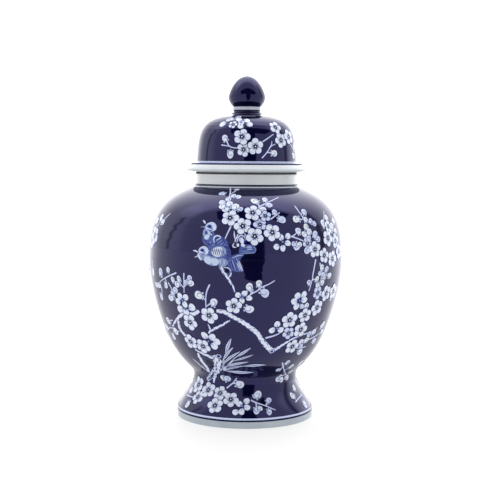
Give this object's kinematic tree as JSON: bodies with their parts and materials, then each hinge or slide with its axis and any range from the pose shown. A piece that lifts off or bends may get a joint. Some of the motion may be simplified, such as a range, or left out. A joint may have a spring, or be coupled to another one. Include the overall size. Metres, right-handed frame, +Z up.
{
  "type": "ginger jar",
  "caption": "Lidded baluster jar on a flared foot, with a short neck and a domed, bud-topped lid that lifts off, for storage or display.",
  "frame": {"origin": "centre of the ring that the jar stands on, at the level of the surface under it", "axes": "+Z up along the axis of revolution of jar and lid; -Y is the front, where the two birds are painted"},
  "size_m": [0.205, 0.205, 0.3564],
  "materials": {
    "cobalt_glaze": "deep cobalt underglaze blue under a glossy clear glaze",
    "white_glaze": "cool white glossy glaze",
    "biscuit": "unglazed fired porcelain, matt"
  },
  "bodies": {
    "jar": {"foot_rim": "white_glaze", "flared_foot": "cobalt_glaze", "lower_belly": "cobalt_glaze", "upper_belly": "cobalt_glaze", "neck_ring": "white_glaze"},
    "lid": {"lid_flange": "white_glaze", "lid_dome": "cobalt_glaze", "lid_locating_ring": "biscuit", "finial_collar": "white_glaze", "finial_bud": "cobalt_glaze"}
  },
  "joints": [
    {"name": "lid_lift", "type": "slide", "parent": "jar", "child": "lid", "axis": [0, 0, 1], "range_m": [0, 0.15]}
  ]
}
